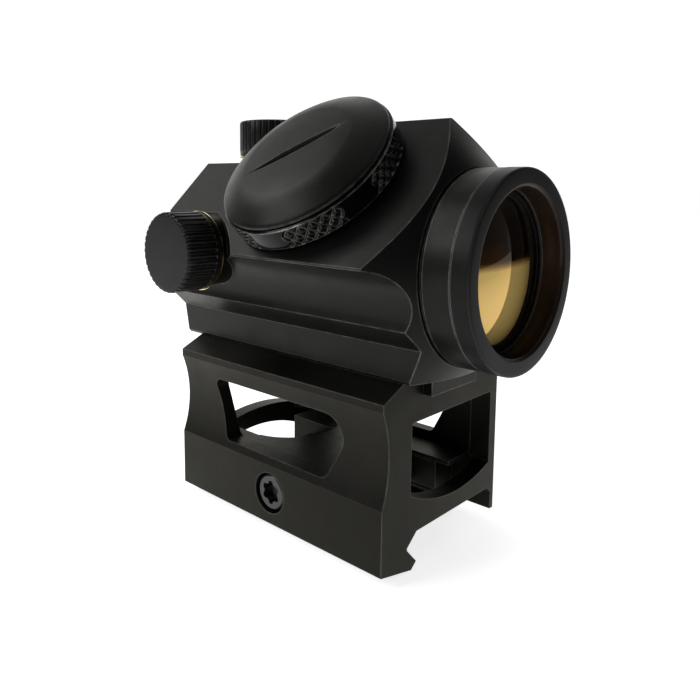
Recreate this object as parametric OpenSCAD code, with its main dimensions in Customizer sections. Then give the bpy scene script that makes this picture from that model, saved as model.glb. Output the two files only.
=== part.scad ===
// Compact tube red dot sight on a tall rail riser.
// Millimetres. +Z up, the objective looks along -Y, windage and dial on the -X side.
// The origin is the middle of the rail seat: the top face of the accessory rail.

/* [Sight] */
// height of the optical axis above the rail
axis_z = 45.5; // [44:0.1:48]
// radius of the objective tube
tube_r = 16.8; // [16.5:0.1:17]
// distance of the 45 degree facets from the optical axis
facet_d = 18; // [17.8:0.1:18.4]
// radius of the knurled brightness dial
dial_r = 16.95; // [16.5:0.05:17.4]
// how far the turret caps stand off their bosses
cap_h = 7.2; // [6.6:0.1:7.6]

/* [Riser] */
// length of the riser along the rail
riser_len = 54.6; // [52:0.2:56]
// half of the riser width
riser_half_w = 17.7; // [17.6:0.1:18]
// height of the riser top above the rail
riser_top = 27; // [26.6:0.1:27]

/* [Hidden] */
$fn = 96;
eps = 0.01;
fit = 0.05;

// tube and cone along the optical axis
front_y = -41.5;
bezel_y = -38.2;
cone_y = -32.6;
cone_slope = 1.37;
groove_r = tube_r - 0.5;
bezel_r = tube_r + 0.05;
rear_y = 31.3;
cavity_r = 13;
front_bore_r = 14;
opening_r = 13.7;
diamond = facet_d * sqrt(2);

// housing section corners, left side, heights from the optical axis
ridge_x = 0.3;
wing_x = 24;
rear_top = 18.1;
rear_side = 17.3;
flute = [-24.6, -6.5, 7.6];
side_low = -8.7;
waist = [13.9, -12.1];
base_edge = [13.1, -17.9];
base_foot = [12.7, riser_top + 0.05 - axis_z];
step_y = 10.2;
step_end = 15;
step_arc = [-56.3, 28.8, 41.4];
tongue_w = 7;
tongue_z = riser_top - 3;

// turrets
boss_r = 6.8;
cap_r = 7.5;
spigot_r = 5.6;
windage_pos = [-21.25, 15.5, axis_z + 1];
elevation_pos = [0, 17.5, axis_z + rear_top + 0.8];

// brightness dial, heights measured out from the facet
dial_y = -6.2;
dial_shift = 2.2;
pocket_r = 12;
pocket_deep = 3.4;
battery_r = 10;
dial_top = 4.9;
detent_r = 15.2;
dial_steps = 11;
dial_step_deg = 30;
slot_turn = -50;
cutter_r = 27.7;

// inner tube
pivot_y = -24.5;
inner_r = 11.8;
lens_y = -36.9;
lens_r = 12.75;
cup_r = 13.45;
lens_tilt = 4;

// riser
rail_wide = 10.7;
bolt_z = 1.3;
bolt_r = 2.45;
jaw_x = 8.05;
frame_y = 3.3;
window_top = 19.7;
half_len = riser_len / 2;
block_y = 14;
bar_y = 20;
leg_z = -4.7;
scoop = [3.4, 16.4, 11.4];
screw_x = 4;
screw_y = 12;

function unit(v) = v / norm(v);

function corner(p, q, s, r, n = 6) =
    let (a = unit(p - q), b = unit(s - q), half = acos(a * b) / 2,
         c = q + unit(a + b) * r / sin(half),
         p0 = q + a * r / tan(half) - c, p1 = q + b * r / tan(half) - c,
         a0 = atan2(p0[1], p0[0]), d = atan2(p1[1], p1[0]) - a0,
         turn = d > 180 ? d - 360 : d < -180 ? d + 360 : d)
    [for (i = [0 : n]) c + r * [cos(a0 + turn * i / n), sin(a0 + turn * i / n)]];

// outline with rounded corners from points given as [x, y, radius]
function rounded(pts) =
    let (n = len(pts), xy = [for (p = pts) [p[0], p[1]]])
    [for (i = [0 : n - 1]) each pts[i][2] == 0 ? [xy[i]]
        : corner(xy[(i + n - 1) % n], xy[i], xy[(i + 1) % n], pts[i][2])];

// outline in X and Z, drawn out from y0 to y1
module prism_y(y0, y1) {
    translate([0, y1, 0]) rotate([90, 0, 0]) linear_extrude(y1 - y0) children();
}

// outline in Y and Z, drawn out from x0 to x1
module prism_x(x0, x1) {
    translate([x0, 0, 0]) rotate([90, 0, 90]) linear_extrude(x1 - x0) children();
}

// outline given as radius and Y, turned about the optical axis
module turned_y(pts) {
    translate([0, 0, axis_z]) rotate([-90, 0, 0]) rotate_extrude() polygon(pts);
}

// outline given as radius and height, turned about the local Z axis
module turned(pts) {
    rotate_extrude() polygon(pts);
}

module ring(r0, r1, z0, z1) {
    turned([[r0, z0], [r1, z0], [r1, z1], [r0, z1]]);
}

module ring_y(r0, r1, y0, y1) {
    turned_y([[r0, y0], [r1, y0], [r1, y1], [r0, y1]]);
}

module both_sides() {
    children();
    mirror([1, 0, 0]) children();
}

// local frame with Z pointing out of the dial facet and the origin on it
module on_facet() {
    translate([0, dial_y, axis_z]) rotate([0, -45, 0]) translate([dial_shift, 0, facet_d]) children();
}

module at_windage() {
    translate(windage_pos) rotate([0, -90, 0]) children();
}

module at_elevation() {
    translate(elevation_pos) children();
}

module at_screws() {
    for (x = [-screw_x, screw_x], y = [-screw_y, screw_y])
        translate([x, y, 0]) children();
}

module lens_frame() {
    translate([0, lens_y, axis_z]) rotate([0, 0, lens_tilt]) rotate([-90, 0, 0]) children();
}

// ---- riser ----

module riser_section() {
    polygon([[-riser_half_w, leg_z], [-9.4, -6.65], [-8, -5.5], [-rail_wide, -2.6], [-rail_wide, -2.2],
             [-jaw_x, 0], [15.3, 0], [16.6, -1.2], [16.6, leg_z], [riser_half_w, leg_z],
             [riser_half_w, riser_top - 2.4], [12.7, riser_top], [-12.7, riser_top],
             [-riser_half_w, riser_top - 2.4]]);
}

module side_window() {
    polygon(rounded([[-13.8, 8.2, 1.6], [13.4, 8.2, 1.6], [18, window_top + 0.3, 1.5],
                     [-20.9, window_top + 0.3, 4.2], [-16.4, 13.2, 2]]));
}

module front_window() {
    intersection() {
        polygon(rounded([[-10, 3, 0], [15.5, 3, 0], [15.5, window_top, 0.6], [-10, window_top, 0.6]]));
        translate([4.4, 33.3]) circle(r = 30);
    }
}

module rear_window() {
    difference() {
        polygon([[-10, 5], [15.5, 5], [15.5, window_top], [-10, window_top]]);
        translate([2.5, -31.8]) circle(r = 40);
    }
}

module riser_body() {
    color("#2b2b2a")
    difference() {
        prism_y(-half_len, half_len) riser_section();
        // hollow behind the end frames
        translate([-13.4, -half_len + frame_y, 6.5]) cube([28.8, riser_len - 2 * frame_y, window_top - 6.4]);
        // pocket of the clamp bar
        translate([7.6, -half_len + frame_y, -7]) cube([9, riser_len - 2 * frame_y, 12.6]);
        // floor openings in front of and behind the middle block
        for (y = [-half_len + frame_y, block_y])
            translate([-jaw_x, y, -7]) cube([16, half_len - frame_y - block_y, 14]);
        // round scoop in the back of the middle block
        intersection() {
            translate([scoop[0], scoop[1], 2.7]) cylinder(r = scoop[2], h = 5);
            translate([-20, 0, 2]) cube([40, half_len - frame_y, 6]);
        }
        // arch under the rear bar
        prism_y(half_len - frame_y - eps, half_len + 1)
            intersection() {
                translate([0.5, -25.9]) circle(r = 30);
                translate([-jaw_x, -7]) square([jaw_x + 15.3, 14]);
            }
        prism_x(-riser_half_w - 1, riser_half_w + 1) side_window();
        prism_y(-half_len - 1, -half_len + frame_y + 1) front_window();
        prism_y(half_len - frame_y - 1, half_len + 1) rear_window();
        // waist of the left side
        prism_y(-half_len - 1, half_len + 1) translate([-38.1, 15]) circle(r = 22);
        // slot for the tongue of the sight
        translate([-tongue_w - fit, -half_len - 1, tongue_z - fit])
            cube([2 * (tongue_w + fit), riser_len + 2, 4]);
        // cross bolt
        translate([-riser_half_w - 1, 0, bolt_z]) rotate([0, 90, 0]) cylinder(r = 3.9, h = 4);
        translate([-riser_half_w, 0, bolt_z]) rotate([0, 90, 0]) cylinder(r = bolt_r + 0.1, h = 30);
        // guide pins
        for (y = [-11, 11])
            translate([1.9, y, bolt_z]) rotate([0, 90, 0]) cylinder(r = 1, h = 8);
        // base screws
        at_screws() {
            translate([0, 0, 19]) cylinder(r = 2.9, h = 3);
            translate([0, 0, 19]) cylinder(r = 1.6, h = 6);
        }
    }
}

module clamp_bar() {
    color("#2f2f2e")
    difference() {
        prism_y(-bar_y, bar_y)
            polygon([[8.05, -0.15], [rail_wide, -2.2], [rail_wide, -2.6], [7.95, -5.4], [9.4, -6.5],
                     [13.2, -6.5], [14, -5.7], [14, 5.4], [8.05, 5.4]]);
        translate([7, 0, bolt_z]) rotate([0, 90, 0]) cylinder(r = bolt_r + 0.03, h = 8);
        for (y = [-11, 11])
            translate([7, y, bolt_z]) rotate([0, 90, 0]) cylinder(r = 1 + fit, h = 8);
    }
}

module guide_pins() {
    color("#8d8f92")
    for (y = [-11, 11])
        translate([2, y, bolt_z]) rotate([0, 90, 0]) cylinder(r = 1, h = 11.8);
}

module torx_2d(r) {
    circle(r = 0.78 * r);
    for (i = [0 : 5])
        rotate(60 * i) translate([0.72 * r, 0]) circle(r = 0.28 * r, $fn = 24);
}

module cross_bolt() {
    color("#3a3a3b")
    translate([-riser_half_w + 0.4, 0, bolt_z]) rotate([0, 90, 0])
    difference() {
        union() {
            turned([[0, 0], [3.1, 0], [3.55, 0.45], [3.55, 2.55], [0, 2.55]]);
            cylinder(r = bolt_r, h = 31);
        }
        translate([0, 0, -eps]) linear_extrude(1.7) torx_2d(2.3);
    }
}

module base_screws() {
    color("#3a3a3b")
    at_screws()
    difference() {
        union() {
            translate([0, 0, 20.1]) cylinder(r = 2.75, h = 1.85);
            translate([0, 0, 21.9]) cylinder(r = 1.45, h = 7.4);
        }
        translate([0, 0, 20]) linear_extrude(1.3) torx_2d(1.5);
    }
}

// ---- housing ----

// left half of the housing section, heights from the optical axis
function section_low() = [waist, base_edge, base_foot];

module front_section() {
    side = concat([[ridge_x, diamond - ridge_x], [wing_x, diamond - wing_x], [wing_x, -3.5], [20, -7.5],
                   [17.33, -8.72]], section_low());
    translate([0, axis_z])
    polygon(concat(side, [for (i = [len(side) - 1 : -1 : 0]) [-side[i][0], side[i][1]]]));
}

module rear_section() {
    side = concat([[diamond - rear_top, rear_top], [rear_side, diamond - rear_side],
                   [rear_side, side_low]], section_low());
    translate([0, axis_z])
    polygon(concat(side, [for (i = [len(side) - 1 : -1 : 0]) [-side[i][0], side[i][1]]]));
}

module front_body() {
    difference() {
        prism_y(-36, step_end) front_section();
        // curved step down to the sides of the rear section
        both_sides() translate([step_arc[0], step_arc[1], 0]) cylinder(r = step_arc[2], h = 80);
        // slanted step down to the top of the rear section
        prism_x(-8, 8)
            polygon([[step_y, axis_z + rear_top], [step_y - 8, axis_z + rear_top + 8],
                     [step_end + 1, axis_z + rear_top + 8], [step_end + 1, axis_z + rear_top]]);
    }
}

module housing_outside() {
    intersection() {
        difference() {
            union() {
                front_body();
                prism_y(0, rear_y) rear_section();
            }
            both_sides() prism_y(-37, rear_y + 1) translate([flute[0], axis_z + flute[1]]) circle(r = flute[2]);
        }
        turned_y([[0, cone_y - 0.4], [tube_r + 0.15, cone_y],
                  [tube_r + 0.15 + 20 * cone_slope, cone_y + 20], [45, rear_y + 1], [0, rear_y + 1]]);
    }
    turned_y([[0, bezel_y + fit], [tube_r, bezel_y + fit], [tube_r, cone_y - 0.7],
              [groove_r, cone_y - 0.5], [groove_r, cone_y + 0.1], [0, cone_y + 2]]);
    // tongue that keys into the riser
    translate([-tongue_w, -29, tongue_z]) cube([2 * tongue_w, half_len + 28.5, 5]);
    at_windage() translate([0, 0, -5]) cylinder(r = boss_r, h = 5);
    at_elevation() translate([0, 0, -2]) cylinder(r = boss_r, h = 2);
    at_windage() cylinder(r = spigot_r, h = 3.6);
    at_elevation() cylinder(r = spigot_r, h = 3.6);
}

module turret_bores() {
    translate([0, 0, 0]) cylinder(r = 4.6, h = 6);
    translate([0, 0, -12]) cylinder(r = 2 + fit, h = 13);
}

module sight_housing() {
    color("#2a2a29")
    difference() {
        housing_outside();
        turned_y([[0, bezel_y - 1], [front_bore_r, bezel_y - 1], [front_bore_r, -20],
                  [cavity_r, -19], [cavity_r, 22], [11, 22], [11, 23], [pocket_r, 23],
                  [pocket_r, rear_y + 1], [0, rear_y + 1]]);
        // seats of the gimbal pins, above and below
        translate([0, pivot_y, axis_z - 15.2]) cylinder(r = 0.8 + fit, h = 30.4);
        at_windage() turret_bores();
        at_elevation() turret_bores();
        on_facet() {
            translate([0, 0, -pocket_deep]) cylinder(r = pocket_r, h = 10);
            ring(pocket_r - 1, pocket_r + 0.5, -2, -1.3);
            ring(12.9, 14.1, -0.6, 1);
            translate([0, -detent_r, -3.2]) cylinder(r = 0.8, h = 5);
        }
        at_screws() translate([0, 0, tongue_z - 1]) cylinder(r = 1.5, h = 6.6);
    }
}

module objective_bezel() {
    color("#262626")
    turned_y([[opening_r, front_y + 0.5], [opening_r + 0.5, front_y], [bezel_r - 0.35, front_y],
              [bezel_r, front_y + 0.35], [bezel_r, bezel_y], [front_bore_r - fit, bezel_y],
              [front_bore_r - fit, bezel_y + 0.7], [opening_r, bezel_y + 0.7]]);
}

module objective_seal() {
    color("#151515")
    ring_y(13.6, front_bore_r - fit, bezel_y + 0.75, bezel_y + 1);
}

module inner_tube() {
    color("#1d1d1d")
    difference() {
        turned_y([[lens_r + 0.2, lens_y - 0.1], [cup_r, lens_y - 0.1], [cup_r, -30.5], [inner_r, -28.5],
                  [inner_r, 21], [10.8, 21], [10.8, lens_y + 4.1], [11.9, lens_y + 3.05],
                  [lens_r + 0.2, lens_y + 3.05]]);
        translate([-13, pivot_y, axis_z]) rotate([0, 90, 0]) cylinder(r = 0.8 + fit, h = 26);
    }
}

module objective_lens() {
    color("#b5741e")
    lens_frame()
    difference() {
        intersection() {
            translate([0, 0, -1.5]) cylinder(r = lens_r, h = 4);
            translate([0, 0, 59]) sphere(r = 60.1, $fn = 180);
        }
        translate([0, 0, 81.2]) sphere(r = 80.1, $fn = 180);
    }
}

module lens_retainer() {
    color("#1a1a1a")
    lens_frame() ring(lens_r - 0.45, lens_r + 0.1, -0.35, 0.12);
}

module gimbal_ring() {
    color("#6f6a5e")
    translate([0, pivot_y, axis_z]) {
        rotate([-90, 0, 0]) ring(12.2, 13.5, -1.5, 1.5);
        for (side = [-1, 1]) {
            // pins into the inner tube
            translate([side * 11.75, 0, 0]) rotate([0, 90, 0]) cylinder(r = 0.8, h = 1.6, center = true);
            // pins into the housing
            translate([0, 0, side * 14.15]) cylinder(r = 0.8, h = 1.7, center = true);
        }
    }
}

module tube_spring() {
    color("#a5a7aa")
    translate([0, 6, axis_z]) rotate([0, 135, 0])
    translate([-1.5, 0, 0]) prism_x(0, 3)
        polygon([[-6, 12.6], [0, 12.2], [6, 12.6], [6, 12.85], [0, 12.45], [-6, 12.85]]);
}

module led_holder() {
    color("#222222")
    translate([0, 15, axis_z]) rotate([0, 55, 0])
    translate([0, 0, -10.3])
    difference() {
        translate([-1.8, 0, 0]) cube([3.6, 4, 3]);
        translate([-0.9, -1, 1]) cube([1.8, 1.65, 1.8]);
    }
}

module led_emitter() {
    color("#c9483a")
    translate([0, 15, axis_z]) rotate([0, 55, 0])
    translate([-0.8, -0.1, -9.2]) cube([1.6, 0.7, 1.6]);
}

module ocular_lens() {
    color("#c8d4d8")
    intersection() {
        ring_y(0, pocket_r - 0.1, 23.05, 25);
        translate([0, 23.05 + 90, axis_z]) sphere(r = 90, $fn = 180);
    }
}

module ocular_seal() {
    color("#151515")
    ring_y(11, pocket_r - 0.1, 25.05, 25.9);
}

module ocular_bezel() {
    color("#262626")
    turned_y([[10.9, 26], [pocket_r - 0.1, 26], [pocket_r - 0.1, rear_y + fit], [14.6, rear_y + fit],
              [14.6, rear_y + 3.6], [14.2, rear_y + 4], [11.6, rear_y + 4], [10.9, rear_y + 2]]);
}

// ---- turrets ----

module turret_cap() {
    difference() {
        turned([[0, 0.7], [cap_r - 0.25, 0.7], [cap_r, 0.95], [cap_r, cap_h + 0.15],
                [cap_r - 0.5, cap_h + 0.65], [0, cap_h + 0.65]]);
        translate([0, 0, 0]) cylinder(r = spigot_r + 0.3, h = cap_h - 1.2);
        translate([0, 0, 0]) cylinder(r = 7, h = 1.3);
    }
}

module turret_ring() {
    turned([[spigot_r + fit, 0], [cap_r - 0.7, 0], [cap_r - 0.7, 0.3], [cap_r + 0.1, 0.3],
            [cap_r + 0.1, 0.6], [spigot_r + fit, 0.6]]);
}

module turret_seal() {
    ring(spigot_r + 0.35, 6.9, 0.7, 1.2);
}

// slotted screw with a stem down to the inner tube
module turret_adjuster(stem) {
    difference() {
        union() {
            translate([0, 0, 0.1]) cylinder(r = 4.3, h = 2);
            translate([0, 0, -stem]) cylinder(r = 2, h = stem + 1);
        }
        translate([-3.6, -0.5, 1.2]) cube([7.2, 1, 2]);
    }
}

module elevation_cap() {
    color("#1b1b1b") at_elevation() turret_cap();
}

module elevation_cap_ring() {
    color("#b08a45") at_elevation() turret_ring();
}

module elevation_cap_seal() {
    color("#141414") at_elevation() turret_seal();
}

module elevation_adjuster() {
    color("#9a8452") at_elevation() turret_adjuster(rear_top + 0.8 - inner_r - 0.35);
}

module windage_cap() {
    color("#1b1b1b") at_windage() turret_cap();
}

module windage_cap_ring() {
    color("#b08a45") at_windage() turret_ring();
}

module windage_cap_seal() {
    color("#141414") at_windage() turret_seal();
}

module windage_adjuster() {
    color("#9a8452") at_windage() turret_adjuster(-windage_pos[0] - inner_r - 0.35);
}

// ---- brightness dial ----

module brightness_dial() {
    color("#1c1c1c")
    on_facet()
    difference() {
        turned([[9.2, -1.6], [9.2, -0.9], [battery_r + 0.3, -0.9], [battery_r + 0.3, 2.6], [12.1, 2.6],
                [12.1, dial_top], [dial_r, dial_top], [dial_r, 0.9], [dial_r - 0.5, 0.4],
                [pocket_r - 0.1, 0.4], [pocket_r - 0.1, -1.3], [pocket_r - 0.65, -1.3],
                [pocket_r - 0.65, -2], [pocket_r - 0.1, -2], [pocket_r - 0.1, -2.3],
                [pocket_r - 0.9, -2.3], [pocket_r - 0.9, -1.6]]);
        for (i = [0 : dial_steps - 1])
            rotate(-90 - dial_step_deg * i) translate([detent_r, 0, 0.1]) sphere(r = 0.85, $fn = 24);
    }
}

module dial_seal() {
    color("#141414") on_facet() ring(13, 14, -0.55, 0.3);
}

module dial_clip() {
    color("#8d8f92")
    on_facet()
    difference() {
        ring(pocket_r - 0.55, pocket_r + 0.4, -1.9, -1.4);
        translate([8, -1.2, -3]) cube([6, 2.4, 3]);
    }
}

module detent_ball() {
    color("#c8c9cc") on_facet() translate([0, -detent_r, -0.42]) sphere(r = 0.75, $fn = 32);
}

module detent_spring() {
    color("#a5a7aa") on_facet() translate([0, -detent_r, -3.1]) ring(0.35, 0.7, 0, 1.95);
}

module battery_cap() {
    color("#2c2c2b")
    on_facet()
    difference() {
        turned([[0, 3.2], [11.9, 3.2], [11.9, dial_top + 0.1], [12.3, dial_top + 0.1], [12.3, dial_top + 0.7],
                [13.3, dial_top + 0.7], [13.3, dial_top + 0.1], [dial_r - 0.75, dial_top + 0.1],
                [dial_r - 0.45, dial_top + 0.35], [dial_r - 0.8, dial_top + 0.8],
                [15, dial_top + 1.75], [13.1, dial_top + 2.5], [10.9, dial_top + 3], [0, dial_top + 3.1]]);
        // slot as a bevelled disc cutter leaves it
        rotate(slot_turn) translate([0, 0, dial_top + 1.6 + cutter_r]) rotate([90, 0, 0])
            turned([[0, -1], [cutter_r - 1.6, -1], [cutter_r, -0.3], [cutter_r, 0.3], [cutter_r - 1.6, 1],
                    [0, 1]]);
    }
}

module battery_cap_seal() {
    color("#141414") on_facet() ring(12.4, 13.2, dial_top + 0.12, dial_top + 0.6);
}

module battery() {
    color("#c3c5c8")
    on_facet() turned([[0, -0.8], [8.6, -0.8], [8.6, -0.6], [battery_r, -0.4], [battery_r, 2.4], [0, 2.4]]);
}

module battery_contact() {
    color("#c9b26a")
    on_facet() {
        translate([-2, -5, -2.38]) cube([4, 10, 0.3]);
        translate([-2, -5, -2.38]) cube([4, 1, 1.45]);
        translate([-2, 4, -2.38]) cube([4, 1, 1.45]);
    }
}

module circuit_board() {
    color("#1f5a38")
    on_facet() {
        translate([0, 0, -pocket_deep + 0.05]) cylinder(r = 11, h = 0.8);
        translate([-7, -3, -2.6]) cube([3, 3, 0.6]);
    }
}

riser_body();
clamp_bar();
guide_pins();
cross_bolt();
base_screws();
sight_housing();
objective_bezel();
objective_seal();
objective_lens();
lens_retainer();
inner_tube();
gimbal_ring();
tube_spring();
led_holder();
led_emitter();
ocular_lens();
ocular_seal();
ocular_bezel();
elevation_cap();
elevation_cap_ring();
elevation_cap_seal();
elevation_adjuster();
windage_cap();
windage_cap_ring();
windage_cap_seal();
windage_adjuster();
brightness_dial();
dial_seal();
dial_clip();
detent_ball();
detent_spring();
battery_cap();
battery_cap_seal();
battery();
battery_contact();
circuit_board();
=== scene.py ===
import math

import bmesh
import bpy
from mathutils import Matrix, Vector

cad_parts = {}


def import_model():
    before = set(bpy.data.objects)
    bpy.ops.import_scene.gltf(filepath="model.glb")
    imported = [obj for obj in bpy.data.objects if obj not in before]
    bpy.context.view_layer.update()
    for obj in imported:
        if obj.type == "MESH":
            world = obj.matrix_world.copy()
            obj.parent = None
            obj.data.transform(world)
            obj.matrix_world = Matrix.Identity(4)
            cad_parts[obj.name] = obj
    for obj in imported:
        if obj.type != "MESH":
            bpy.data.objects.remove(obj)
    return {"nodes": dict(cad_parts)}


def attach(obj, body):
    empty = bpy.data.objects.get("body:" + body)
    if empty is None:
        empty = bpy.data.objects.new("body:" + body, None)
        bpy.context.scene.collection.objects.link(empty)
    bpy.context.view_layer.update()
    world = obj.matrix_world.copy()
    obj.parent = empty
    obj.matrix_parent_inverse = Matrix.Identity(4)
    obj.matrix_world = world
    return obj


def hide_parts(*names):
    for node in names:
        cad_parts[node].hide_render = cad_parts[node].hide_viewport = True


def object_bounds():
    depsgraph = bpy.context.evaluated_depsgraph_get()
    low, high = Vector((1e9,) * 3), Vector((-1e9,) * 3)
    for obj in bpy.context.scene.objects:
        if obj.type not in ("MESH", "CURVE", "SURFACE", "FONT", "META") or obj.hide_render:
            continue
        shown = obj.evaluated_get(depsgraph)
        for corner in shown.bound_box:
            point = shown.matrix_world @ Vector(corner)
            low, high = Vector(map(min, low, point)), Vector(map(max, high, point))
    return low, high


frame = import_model()
CAD_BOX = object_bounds()
MM = 0.001
TAU = 2 * math.pi

# ---- places and sizes in the part's own frame, millimetres ----
AXIS_Z = 45.5
TUBE_R = 16.8
OPENING_R = 13.7
FRONT_Y = -41.5
BEZEL_Y = -38.2
SEAT_R = 13.95
FACET_D = 18.0
DIAL_Y = -6.2
DIAL_SHIFT = 2.2
DIAL_R = 16.95
DIAL_TOP = 4.9
CAP_R = 7.5
CAP_LOW = 0.7
CAP_TOP = 7.85
LENS_Y = -36.9
LENS_R = 12.75
LENS_TILT = 4
CUTTER_R = 27.7
SLOT_TURN = -50
FACET_ANGLE = 45
EYEPIECE_FRONT = 23.05
EYEPIECE_BACK = 25.0
EYEPIECE_R = 11.88


def move(x, y, z):
    return Matrix.Translation((x, y, z))


def turn(degrees, axis):
    return Matrix.Rotation(math.radians(degrees), 4, axis)


# each frame has its Z axis along the piece's own axis
OPTIC = move(0, 0, AXIS_Z) @ turn(-90, "X")
FACET = move(0, DIAL_Y, AXIS_Z) @ turn(-FACET_ANGLE, "Y") @ move(DIAL_SHIFT, 0, FACET_D)
WINDAGE = move(-21.25, 15.5, AXIS_Z + 1) @ turn(-90, "Y")
ELEVATION = move(0, 17.5, AXIS_Z + 18.9)
LENS = move(0, LENS_Y, AXIS_Z) @ turn(LENS_TILT, "Z") @ turn(-90, "X")


# ---- meshes ----
def solid(name, verts, faces, place):
    """An object in the scene with its normals facing out, placed by a matrix in millimetres."""
    mesh = bpy.data.meshes.new(name)
    mesh.from_pydata([tuple((place @ Vector(v)) * MM) for v in verts], [], faces)
    mesh.validate()
    obj = bpy.data.objects.new(name, mesh)
    bpy.context.scene.collection.objects.link(obj)
    bm = bmesh.new()
    bm.from_mesh(mesh)
    bmesh.ops.recalc_face_normals(bm, faces=bm.faces)
    bm.to_mesh(mesh)
    bm.free()
    return obj


def build(name, verts, faces, place, body, stands_for, material):
    """A visible piece that rides a body and takes the place of CAD nodes."""
    obj = solid(name, verts, faces, place)
    obj.data.materials.append(material)
    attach(obj, body)
    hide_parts(*stands_for)
    return obj


def grid(rows, closed):
    """Vertices and faces of rows of points, each row a ring. closed joins the last row to the first."""
    n = len(rows[0])
    verts = [p for row in rows for p in row]
    faces = []
    for i in range(len(rows) if closed else len(rows) - 1):
        a, b = i * n, ((i + 1) % len(rows)) * n
        for j in range(n):
            k = (j + 1) % n
            faces.append((a + j, a + k, b + k, b + j))
    return verts, faces


def lathe(profile, steps=192, radius=None):
    """A profile of (radius, height) turned about Z. radius(r, z, angle) may bend a ring."""
    rows = []
    for r, z in profile:
        ring = []
        for j in range(steps):
            a = TAU * j / steps
            s = radius(r, z, a) if radius else r
            ring.append((s * math.cos(a), s * math.sin(a), z))
        rows.append(ring)
    reaches_axis = profile[0][0] == 0
    if not reaches_axis:
        return grid(rows, True)
    verts, faces = grid(rows[1:-1], False)
    low, high = len(verts), len(verts) + 1
    last = len(verts) - steps
    verts += [(0, 0, profile[0][1]), (0, 0, profile[-1][1])]
    for j in range(steps):
        k = (j + 1) % steps
        faces.append((low, k, j))
        faces.append((high, last + j, last + k))
    return verts, faces


def bevel(obj, width, angle=30):
    """Rounds the sharp edges by a width in millimetres."""
    mod = obj.modifiers.new("edge", "BEVEL")
    mod.width = width * MM
    mod.segments = 2
    mod.limit_method = "ANGLE"
    mod.angle_limit = math.radians(angle)
    mod.harden_normals = True
    mod.miter_outer = "MITER_ARC"


def smooth(obj, angle):
    """Shades smoothly across edges that are flatter than the angle."""
    with bpy.context.temp_override(active_object=obj, selected_editable_objects=[obj], object=obj):
        bpy.ops.object.shade_smooth_by_angle(angle=math.radians(angle))


def scaled(colour, factor):
    return tuple(factor * c for c in colour)


# ---- materials ----
SCRATCH_STRETCH = (30, 30, 400)
# pale colours laid on sharp edges, partly worn bare metal and partly painted edge highlight
EDGE_WEAR_AND_HIGHLIGHT_WIDTH = 0.35
EDGE_WEAR_AND_HIGHLIGHT = (0.42, 0.41, 0.38)
RING_EDGE_WEAR_AND_HIGHLIGHT = (0.16, 0.155, 0.14)
BORE_DARK = (0.014, 0.009, 0.006)
BORE_LIGHT = (0.03, 0.019, 0.013)
COATING_TINT = (1.0, 0.5, 0.06, 1)
GLASS_IOR = 1.5


class Nodes:
    """A small helper to write a node material."""

    def __init__(self, name):
        self.mat = bpy.data.materials.new(name)
        self.mat.use_nodes = True
        self.tree = self.mat.node_tree
        self.shader = self.tree.nodes["Principled BSDF"]
        self.coord = self.tree.nodes.new("ShaderNodeTexCoord").outputs["Object"]

    def add(self, kind, **values):
        node = self.tree.nodes.new(kind)
        for key, value in values.items():
            if hasattr(node, key):
                setattr(node, key, value)
            else:
                node.inputs[key.replace("_", " ")].default_value = value
        return node

    def link(self, out, into):
        self.tree.links.new(out, into)

    def noise(self, scale, detail=4, rough=0.6, stretch=None):
        node = self.add("ShaderNodeTexNoise", Scale=scale, Detail=detail, Roughness=rough)
        if stretch:
            mapping = self.add("ShaderNodeMapping")
            mapping.inputs["Scale"].default_value = stretch
            self.link(self.coord, mapping.inputs["Vector"])
            self.link(mapping.outputs["Vector"], node.inputs["Vector"])
        else:
            self.link(self.coord, node.inputs["Vector"])
        return node.outputs["Fac"]

    def spread(self, value, low, high, into=None, start=0.3, end=0.7):
        """Maps start..end to low..high."""
        node = self.add("ShaderNodeMapRange")
        for key, number in (("From Min", start), ("From Max", end), ("To Min", low), ("To Max", high)):
            node.inputs[key].default_value = number
        self.link(value, node.inputs["Value"])
        if into:
            self.link(node.outputs["Result"], into)
        return node.outputs["Result"]

    def mix(self, factor, a, b):
        node = self.add("ShaderNodeMix", data_type="RGBA")
        self.link(factor, node.inputs["Factor"])
        for value, socket in ((a, node.inputs[6]), (b, node.inputs[7])):
            if isinstance(value, tuple):
                socket.default_value = (*value, 1)
            else:
                self.link(value, socket)
        return node.outputs[2]

    def bump(self, height, distance, strength=1.0, before=None):
        node = self.add("ShaderNodeBump", Strength=strength, Distance=distance * MM)
        self.link(height, node.inputs["Height"])
        if before:
            self.link(before, node.inputs["Normal"])
        return node.outputs["Normal"]

    def edges(self):
        """1 on sharp edges and 0 on flats, from how far the rounded normal leans away."""
        round_node = self.add("ShaderNodeBevel", samples=6)
        round_node.inputs["Radius"].default_value = EDGE_WEAR_AND_HIGHLIGHT_WIDTH * MM
        geometry = self.add("ShaderNodeNewGeometry")
        dot = self.add("ShaderNodeVectorMath", operation="DOT_PRODUCT")
        self.link(round_node.outputs["Normal"], dot.inputs[0])
        self.link(geometry.outputs["Normal"], dot.inputs[1])
        return self.spread(dot.outputs["Value"], 1.0, 0.0, start=0.93, end=0.997)


def from_axis(n):
    """How far a point is from the optical axis, in metres."""
    place = n.add("ShaderNodeVectorMath", operation="SUBTRACT")
    n.link(n.coord, place.inputs[0])
    place.inputs[1].default_value = (0, 0, AXIS_Z * MM)
    flat = n.add("ShaderNodeVectorMath", operation="MULTIPLY")
    n.link(place.outputs["Vector"], flat.inputs[0])
    flat.inputs[1].default_value = (1, 0, 1)
    radius = n.add("ShaderNodeVectorMath", operation="LENGTH")
    n.link(flat.outputs["Vector"], radius.inputs[0])
    return radius.outputs["Value"]


def part_of_coord(n, axis):
    split = n.add("ShaderNodeSeparateXYZ")
    n.link(n.coord, split.inputs[0])
    return split.outputs[axis]


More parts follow.
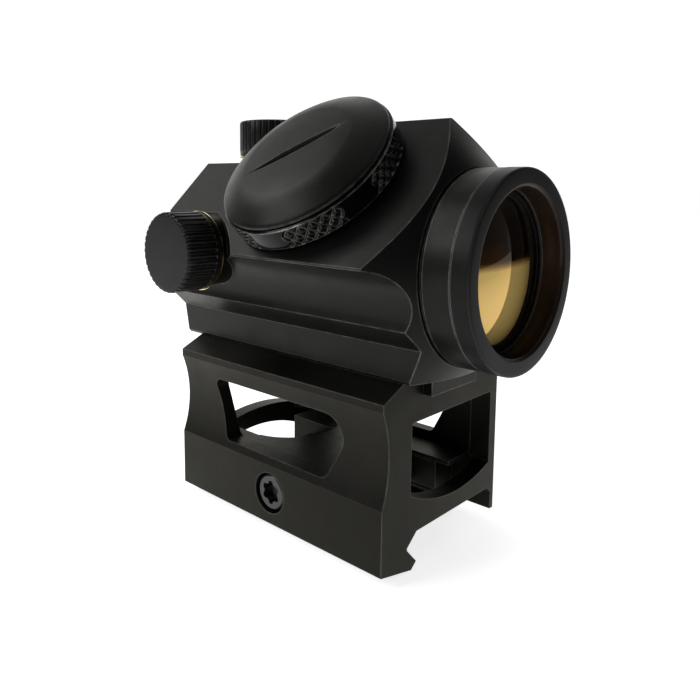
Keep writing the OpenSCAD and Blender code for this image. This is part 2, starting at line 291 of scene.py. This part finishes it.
def anodised(name, dark, light, rough, grain=0.03, wear_and_highlight=0.6, warm=(1.0, 1.0, 1.0), gloss=0.14):
    """Black anodised aluminium with a blasted grain, faint blotches, and pale edges that are partly worn bare
    metal and partly painted highlight.
    """
    n = Nodes(name)
    blotch = n.noise(70, 5, 0.6)
    fine = n.noise(2600, 3, 0.7)
    shade = n.mix(n.spread(blotch, 0.0, 1.0), scaled(warm, dark), scaled(warm, light))
    speck = n.mix(n.spread(fine, 0.0, 0.35, start=0.45, end=0.75), shade, scaled(warm, light * 1.8))
    # wear and painted highlight: every sharp edge turns pale, in speckles
    edge_wear_and_highlight = n.add("ShaderNodeMath", operation="MULTIPLY")
    n.link(n.edges(), edge_wear_and_highlight.inputs[0])
    n.link(n.spread(n.noise(420, 4, 0.7), 0.05, wear_and_highlight), edge_wear_and_highlight.inputs[1])
    n.link(n.mix(edge_wear_and_highlight.outputs[0], speck, EDGE_WEAR_AND_HIGHLIGHT), n.shader.inputs["Base Color"])
    n.shader.inputs["Metallic"].default_value = 0.3
    n.shader.inputs["Specular IOR Level"].default_value = gloss
    n.shader.inputs["Specular Tint"].default_value = (*warm, 1)
    n.spread(n.noise(160, 5, 0.65), rough - 0.05, rough + 0.07, n.shader.inputs["Roughness"])
    first = n.bump(fine, grain, 0.5)
    n.link(n.bump(n.noise(1100, 4, 0.6), grain * 1.3, 0.3, first), n.shader.inputs["Normal"])
    return n.mat


def bore_black(name, outside):
    """The ring's anodising outside and smooth glossy black inside its opening."""
    n = Nodes(name)
    rim_start, rim_end = (OPENING_R + 0.1) * MM, (OPENING_R + 0.4) * MM
    rim = n.spread(from_axis(n), 0.0, 1.0, start=rim_start, end=rim_end)
    fine = n.noise(2600, 3, 0.7)
    skin = n.mix(n.spread(fine, 0.0, 1.0), scaled(outside, 0.8), scaled(outside, 1.6))
    inside = n.mix(n.spread(n.noise(60, 4), 0.0, 1.0), BORE_DARK, BORE_LIGHT)
    # the ring's sharp edges are painted pale, partly wear and partly painted highlight
    n.link(n.mix(n.edges(), n.mix(rim, inside, skin), RING_EDGE_WEAR_AND_HIGHLIGHT), n.shader.inputs["Base Color"])
    rough = n.add("ShaderNodeMath", operation="MULTIPLY_ADD")
    n.link(rim, rough.inputs[0])
    rough.inputs[1].default_value = 0.2
    n.spread(n.noise(160, 5, 0.65), 0.16, 0.24, rough.inputs[2])
    n.link(rough.outputs[0], n.shader.inputs["Roughness"])
    n.shader.inputs["Metallic"].default_value = 0.15
    n.shader.inputs["Specular IOR Level"].default_value = 0.11
    n.link(n.bump(fine, 0.02, 0.4), n.shader.inputs["Normal"])
    return n.mat


def metal(name, colour, rough, metallic=1.0):
    """Metal or hard plastic with blotches and fine drawn scratches."""
    n = Nodes(name)
    shade = n.mix(n.spread(n.noise(90, 4), 0.0, 1.0), scaled(colour, 0.78), colour)
    n.link(shade, n.shader.inputs["Base Color"])
    n.shader.inputs["Metallic"].default_value = metallic
    n.spread(n.noise(300, 5, 0.7), rough - 0.05, rough + 0.08, n.shader.inputs["Roughness"])
    n.link(n.bump(n.noise(12, 4, 0.6, SCRATCH_STRETCH), 0.01, 0.5), n.shader.inputs["Normal"])
    return n.mat


def rubber(name):
    n = Nodes(name)
    n.link(n.mix(n.spread(n.noise(120, 4), 0.0, 1.0), (0.008, 0.008, 0.008), (0.02, 0.02, 0.02)),
           n.shader.inputs["Base Color"])
    n.spread(n.noise(500, 4), 0.55, 0.75, n.shader.inputs["Roughness"])
    n.link(n.bump(n.noise(900, 3), 0.02, 0.4), n.shader.inputs["Normal"])
    return n.mat


def coated_lens(name, colour, mirror, clear, shaded_top_colour=None):
    """Glass under a coloured coating. shaded_top_colour, if given, is painted shade: the lens is coloured
    darker above the optical axis.
    """
    n = Nodes(name)
    shade = n.mix(n.spread(n.noise(40, 3), 0.0, 1.0), colour, tuple(min(1.0, 1.1 * c) for c in colour))
    n.shader.inputs["Metallic"].default_value = mirror
    n.shader.inputs["Transmission Weight"].default_value = clear
    if shaded_top_colour:
        n.shader.inputs["Specular Tint"].default_value = COATING_TINT
        n.shader.inputs["Specular IOR Level"].default_value = 0.25
        # painted shade: above the optical axis the lens takes the darker colour, with less mirror and more
        # see-through
        low, high = (AXIS_Z + 0.2) * MM, (AXIS_Z + 1.8) * MM
        upper = n.spread(part_of_coord(n, "Z"), 0.0, 1.0, start=low, end=high)
        shade = n.mix(upper, shade, shaded_top_colour)
        n.spread(upper, mirror, 0.0, n.shader.inputs["Metallic"], start=0, end=1)
        n.spread(upper, clear, 1.0, n.shader.inputs["Transmission Weight"], start=0, end=1)
    n.link(shade, n.shader.inputs["Base Color"])
    n.spread(n.noise(200, 3), 0.015, 0.035, n.shader.inputs["Roughness"])
    n.shader.inputs["IOR"].default_value = GLASS_IOR
    n.link(n.bump(n.noise(60, 2), 0.001, 0.1), n.shader.inputs["Normal"])
    return n.mat


BODY = anodised("body_anodised", 0.0035, 0.0065, 0.36, wear_and_highlight=0.4, warm=(1.0, 0.99, 0.95), gloss=0.16)
RISER = anodised("riser_anodised", 0.0045, 0.008, 0.40, wear_and_highlight=0.22, warm=(1.0, 0.97, 0.83), gloss=0.13)
CAP = anodised("cap_anodised", 0.004, 0.006, 0.32, grain=0.012, wear_and_highlight=0.2)
KNURL = anodised("knurl_anodised", 0.002, 0.004, 0.14, grain=0.003, wear_and_highlight=0.6, gloss=0.12)
INNER = anodised("inner_black", 0.003, 0.005, 0.6, grain=0.004, wear_and_highlight=0.1, warm=(1.0, 0.8, 0.6), gloss=0.08)
RING = bore_black("bezel_anodised", (0.005, 0.005, 0.0047))
BLACK_STEEL = metal("black_steel", (0.07, 0.07, 0.072), 0.32, 0.9)
STEEL = metal("steel", (0.55, 0.56, 0.58), 0.3)
NICKEL = metal("nickel", (0.68, 0.68, 0.7), 0.22)
BRASS = metal("brass", (0.78, 0.64, 0.38), 0.22)
RUBBER = rubber("rubber")
# the last colour is painted shade, darker on the lens's upper half
AMBER = coated_lens("amber_glass", (1.0, 0.66, 0.22), 0.35, 0.1, (0.16, 0.06, 0.004))
CLEAR = coated_lens("clear_glass", (0.9, 0.95, 0.96), 0.05, 1.0)
EMITTER = metal("emitter", (0.75, 0.12, 0.08), 0.25, 0.0)
BOARD = metal("board", (0.04, 0.2, 0.09), 0.4, 0.0)

CAD_LOOKS = {
    "riser_body": RISER, "clamp_bar": RISER, "guide_pins": STEEL, "cross_bolt": BLACK_STEEL,
    "base_screws": BLACK_STEEL, "sight_housing": BODY, "objective_seal": RUBBER, "lens_retainer": INNER,
    "inner_tube": INNER, "gimbal_ring": BRASS, "tube_spring": STEEL, "led_holder": INNER,
    "led_emitter": EMITTER, "ocular_seal": RUBBER, "ocular_bezel": BODY,
    "elevation_cap_seal": RUBBER, "elevation_adjuster": BRASS, "windage_cap_seal": RUBBER,
    "windage_adjuster": BRASS, "dial_seal": RUBBER, "dial_clip": STEEL, "detent_ball": STEEL,
    "detent_spring": STEEL, "battery_cap_seal": RUBBER, "battery": NICKEL, "battery_contact": BRASS,
    "circuit_board": BOARD, "elevation_cap_ring": BRASS, "windage_cap_ring": BRASS,
}
BEVELS = {"riser_body": 0.3, "sight_housing": 0.3, "clamp_bar": 0.25, "cross_bolt": 0.15, "base_screws": 0.15}

for node, look in CAD_LOOKS.items():
    cad = frame["nodes"][node]
    cad.data.materials.clear()
    cad.data.materials.append(look)
    if node in BEVELS:
        bevel(cad, BEVELS[node])


# ---- objective ----
def objective_bezel():
    """The front ring, with a soft inner lip and a crisper outer edge."""
    r = TUBE_R + 0.05
    face, back, seat = FRONT_Y, BEZEL_Y, BEZEL_Y + 0.7
    lip = [(OPENING_R, face + 0.55), (OPENING_R + 0.12, face + 0.3), (OPENING_R + 0.5, face + 0.02),
           (OPENING_R + 0.7, face)]
    edge = [(r - 0.6, face), (r - 0.26, face + 0.01), (r - 0.1, face + 0.08), (r - 0.02, face + 0.24),
            (r, face + 0.6)]
    behind = [(r, back - 0.12), (r - 0.12, back), (SEAT_R, back), (SEAT_R, seat), (OPENING_R, seat)]
    verts, faces = lathe(lip + edge + behind, 256)
    obj = build("objective_bezel_ring", verts, faces, OPTIC, "frame", ["objective_bezel"], RING)
    smooth(obj, 40)


def dome(rim, tip, ball):
    """Points out to the rim of a spherical face whose tip is on the axis."""
    steps = 16
    out = []
    for i in range(1, steps + 1):
        r = rim * i / steps
        out.append((r, tip + (ball - math.sqrt(ball ** 2 - r ** 2))))
    return out


def lens(name, profile, place, body, stands_for, material):
    verts, faces = lathe(profile, 128)
    smooth(build(name, verts, faces, place, body, [stands_for], material), 40)


def objective_lens():
    """A meniscus lens between two spherical faces."""
    front, back, rim = -1.1, 1.05, LENS_R - 0.02
    profile = [(0, front)] + dome(rim, front, 60) + dome(rim, back, 80)[::-1] + [(0, back)]
    lens("objective_lens_glass", profile, LENS, "optical_tube", "objective_lens", AMBER)


def eyepiece_lens():
    """Rear window, flat behind and slightly domed in front."""
    profile = [(0, EYEPIECE_FRONT)] + dome(EYEPIECE_R, EYEPIECE_FRONT, 90)
    profile += [(EYEPIECE_R, EYEPIECE_BACK), (EYEPIECE_R / 2, EYEPIECE_BACK), (0, EYEPIECE_BACK)]
    lens("eyepiece_lens_glass", profile, OPTIC, "frame", "ocular_lens", CLEAR)


# ---- turret caps ----
RIBS = 36
RIB_STEPS = 8
RIB_DEPTH = 0.27


def ribbed(r, z, a):
    """The cap's radius at an angle: grooves between the ribs, above the plain skirt."""
    if r < CAP_R - 0.6 or z < CAP_LOW + 0.9:
        return r
    phase = (a * RIBS / TAU) % 1.0
    from_groove = abs(phase - 0.5) * 2
    return r - RIB_DEPTH * max(0.0, min(1.0, (0.42 - from_groove) / 0.2))


def turret_cap(name, place, body):
    """A ribbed cap, hollow below."""
    top, under_top, hollow, hub, skirt = CAP_TOP, CAP_TOP - 1.8, 5.9, 0.5, 7.0
    outside = [(skirt, CAP_LOW + 0.02), (CAP_R - 0.2, CAP_LOW + 0.02), (CAP_R - 0.05, CAP_LOW + 0.2),
               (CAP_R - 0.05, CAP_LOW + 0.85), (CAP_R, CAP_LOW + 0.95), (CAP_R, 3), (CAP_R, 5),
               (CAP_R, top - 0.55), (CAP_R - 0.12, top - 0.25), (CAP_R - 0.32, top - 0.08),
               (CAP_R - 0.62, top), (CAP_R - 0.9, top), (3, top), (hub, top)]
    inside = [(hub, under_top), (hollow, under_top), (hollow, 1.3), (skirt, 1.3)]
    steps = RIBS * RIB_STEPS
    verts, faces = lathe(outside + inside, steps, ribbed)
    # close the small hole left on the axis, on both faces of the top
    over, under = len(outside) - 1, len(outside)
    faces = [f for f in faces if not (f[0] // steps == over and f[2] // steps == under)]
    faces.append(tuple(over * steps + j for j in range(steps)))
    faces.append(tuple(under * steps + j for j in range(steps - 1, -1, -1)))
    smooth(build(name, verts, faces, place, body, [body], CAP), 28)


# ---- brightness dial ----
FLATS = 6
FLAT_START = -173.0
FLAT_HALF = 11.0
KNURLS = 48
KNURL_STEPS = 18
KNURL_DEPTH = 0.45
KNURL_LOW = 0.75
KNURL_HIGH = DIAL_TOP - 0.3


def knurl_depth(a, z):
    """How deep the diamond knurl cuts at an angle and height. The smooth thumb flats have none."""
    spacing = 360 / FLATS
    from_flat = abs((math.degrees(a) - FLAT_START + spacing / 2) % spacing - spacing / 2)
    if from_flat < FLAT_HALF:
        return 0.0
    fade = min(1.0, (from_flat - FLAT_HALF) / 0.8)
    fade *= min(1.0, (z - KNURL_LOW) / 0.25, (KNURL_HIGH - z) / 0.25)
    pitch = TAU * DIAL_R / KNURLS
    u, v = a * DIAL_R / pitch, (z - KNURL_LOW) / (pitch * 1.05)
    first = abs((u + v) % 1.0 - 0.5) * 2
    second = abs((u - v) % 1.0 - 0.5) * 2
    groove = min(first, second)
    return KNURL_DEPTH * max(0.0, fade) * (1 - min(1.0, groove / 0.5))


def knurled(r, z, a):
    return r - knurl_depth(a, z) if abs(r - DIAL_R) < 1e-6 else r


def brightness_dial():
    """The knurled ring, hollow for the battery, with its neck below."""
    rows = 26
    side = [(DIAL_R, KNURL_LOW + (KNURL_HIGH - KNURL_LOW) * i / rows) for i in range(rows + 1)]
    inside = [(9.2, -1.6), (9.2, -0.9), (10.3, -0.9), (10.3, 2.6), (12.1, 2.6), (12.1, DIAL_TOP),
              (DIAL_R - 0.55, DIAL_TOP), (DIAL_R - 0.3, DIAL_TOP - 0.12)]
    neck = [(DIAL_R - 0.15, KNURL_LOW - 0.12), (DIAL_R - 0.55, 0.4), (11.9, 0.4), (11.9, -2.3), (11.1, -2.3),
            (11.1, -1.6)]
    verts, faces = lathe(inside + side[::-1] + neck, KNURLS * KNURL_STEPS, knurled)
    obj = build("brightness_dial_ring", verts, faces, FACET, "dial", ["brightness_dial"], KNURL)
    smooth(obj, 30)


def battery_cap():
    """Domed cap with a coin slot, its plug going down into the dial."""
    top, base = DIAL_TOP + 3.1, DIAL_TOP + 0.1
    edge, disc, plug = DIAL_R - 0.35, 10.9, 11.9
    flank_r, flank_z, flank_turn = edge - 0.3, base + 0.75, 72
    profile = [(0, 3.2), (plug - 0.2, 3.2), (plug, 3.4), (plug, base), (flank_r, base),
               (edge - 0.05, base + 0.12), (edge, base + 0.3), (edge - 0.06, base + 0.5), (flank_r, flank_z)]
    steps = 12
    for i in range(1, steps + 1):
        t = i / steps
        lift = math.sin(math.radians(flank_turn * t)) / math.sin(math.radians(flank_turn))
        profile.append((flank_r - (flank_r - disc) * t, flank_z + (top - 0.1 - flank_z) * lift))
    profile += [(disc - 0.25, top - 0.06), (6, top - 0.01), (0, top)]
    verts, faces = lathe(profile, 256)
    obj = build("battery_cap_dome", verts, faces, FACET, "battery_cap", ["battery_cap"], BODY)
    cut_slot(obj, FACET @ turn(SLOT_TURN, "Z") @ move(0, 0, DIAL_TOP + 1.6 + CUTTER_R) @ turn(90, "X"))
    smooth(obj, 20)
    bevel(obj, 0.07, 40)


def cut_slot(obj, place):
    """Cuts the coin slot the way a bevelled disc cutter would."""
    shoulder, half, tip = CUTTER_R - 1.6, 1.0, 0.3
    profile = [(0, -half), (shoulder, -half), (CUTTER_R, -tip), (CUTTER_R, tip), (shoulder, half), (0, half)]
    verts, faces = lathe(profile, 512)
    cutter = solid("cutter", verts, faces, place)
    mod = obj.modifiers.new("cut", "BOOLEAN")
    mod.operation = "DIFFERENCE"
    mod.solver = "EXACT"
    mod.object = cutter
    apply_modifiers(obj)
    bpy.data.objects.remove(cutter)


def apply_modifiers(obj):
    """Swaps the mesh for what its modifiers make of it."""
    graph = bpy.context.evaluated_depsgraph_get()
    made = bpy.data.meshes.new_from_object(obj.evaluated_get(graph))
    obj.modifiers.clear()
    old = obj.data
    obj.data = made
    bpy.data.meshes.remove(old)


objective_bezel()
objective_lens()
eyepiece_lens()
turret_cap("windage_cap_ribbed", WINDAGE, "windage_cap")
turret_cap("elevation_cap_ribbed", ELEVATION, "elevation_cap")
brightness_dial()
battery_cap()


# ---- floor, light and camera ----
BACKDROP_WAY = (0.737, 0.676, 0)
BACKDROP_LIGHT = 1.1
ROOM_LIGHT = 0.07


def floor():
    """Pale paper, from a little in front of the object to far behind it."""
    size, front, low = 30.0, -0.36, CAD_BOX[0][2]
    mesh = bpy.data.meshes.new("floor")
    mesh.from_pydata([(-size, front, low), (size, front, low), (size, size, low), (-size, size, low)], [],
                     [(0, 1, 2, 3)])
    obj = bpy.data.objects.new("floor", mesh)
    bpy.context.scene.collection.objects.link(obj)
    n = Nodes("floor_paper")
    n.link(n.mix(n.spread(n.noise(3, 3), 0.0, 1.0), (0.88, 0.88, 0.88), (0.91, 0.91, 0.91)),
           n.shader.inputs["Base Color"])
    n.shader.inputs["Roughness"].default_value = 0.9
    n.shader.inputs["Emission Color"].default_value = (1, 1, 1, 1)
    # the paper's glow fades in front of the object, so that the front faces do not mirror it
    n.spread(part_of_coord(n, "Y"), 0.12, 0.8, n.shader.inputs["Emission Strength"], start=-0.24, end=-0.09)
    mesh.materials.append(n.mat)


def area_light(name, place, target, size, power):
    data = bpy.data.lights.new(name, "AREA")
    data.shape = "RECTANGLE"
    data.size, data.size_y = size
    data.energy = power
    obj = bpy.data.objects.new(name, data)
    obj.location = place
    obj.rotation_euler = (Vector(target) - Vector(place)).to_track_quat("-Z", "Y").to_euler()
    bpy.context.scene.collection.objects.link(obj)


def camera():
    """The viewing place was worked out from the riser's straight edges and the round front ring."""
    azimuth, elevation, roll = math.radians(-47.47), math.radians(7.16), math.radians(0.53)
    back = Vector((math.sin(azimuth) * math.cos(elevation), -math.cos(azimuth) * math.cos(elevation),
                   math.sin(elevation)))
    target = Vector((0.61, -0.58, 42.08))
    right = (-back).cross(Vector((0, 0, 1))).normalized()
    up = right.cross(-back)
    side = right * math.cos(roll) + up * math.sin(roll)
    top = up * math.cos(roll) - right * math.sin(roll)
    data = bpy.data.cameras.new("camera")
    data.sensor_width = 36
    data.lens = 35.375
    data.shift_x, data.shift_y = 0.0158, -0.1128
    data.clip_start, data.clip_end = 0.01, 60
    obj = bpy.data.objects.new("camera", data)
    place = (target + back * 137.92) * MM
    obj.matrix_world = Matrix.Translation(place) @ Matrix((side, top, back)).transposed().to_4x4()
    bpy.context.scene.collection.objects.link(obj)
    bpy.context.scene.camera = obj


def world():
    """A white backdrop behind the object and a dim room on the camera's side."""
    scene_world = bpy.data.worlds.new("studio")
    bpy.context.scene.world = scene_world
    scene_world.use_nodes = True
    tree = scene_world.node_tree
    way = tree.nodes.new("ShaderNodeTexCoord").outputs["Generated"]
    dot = tree.nodes.new("ShaderNodeVectorMath")
    dot.operation = "DOT_PRODUCT"
    tree.links.new(way, dot.inputs[0])
    dot.inputs[1].default_value = BACKDROP_WAY
    ramp = tree.nodes.new("ShaderNodeMapRange")
    ramp.interpolation_type = "SMOOTHSTEP"
    for key, number in (("From Min", 0.42), ("From Max", 0.8), ("To Min", ROOM_LIGHT),
                        ("To Max", BACKDROP_LIGHT)):
        ramp.inputs[key].default_value = number
    tree.links.new(dot.outputs["Value"], ramp.inputs["Value"])
    tree.links.new(ramp.outputs["Result"], tree.nodes["Background"].inputs["Strength"])
    tree.nodes["Background"].inputs["Color"].default_value = (1, 1, 1, 1)


floor()
world()
area_light("key", (-0.2, 0.36, 0.42), (0, 0.01, 0.06), (0.24, 0.24), 0.9)
area_light("left", (-0.5, 0.26, 0.36), (0, 0, 0.05), (0.25, 0.25), 1.3)
area_light("top", (0, 0, 1.2), (0, 0, 0), (1.2, 1.2), 2.0)
camera()
bpy.context.scene.view_settings.view_transform = "Standard"
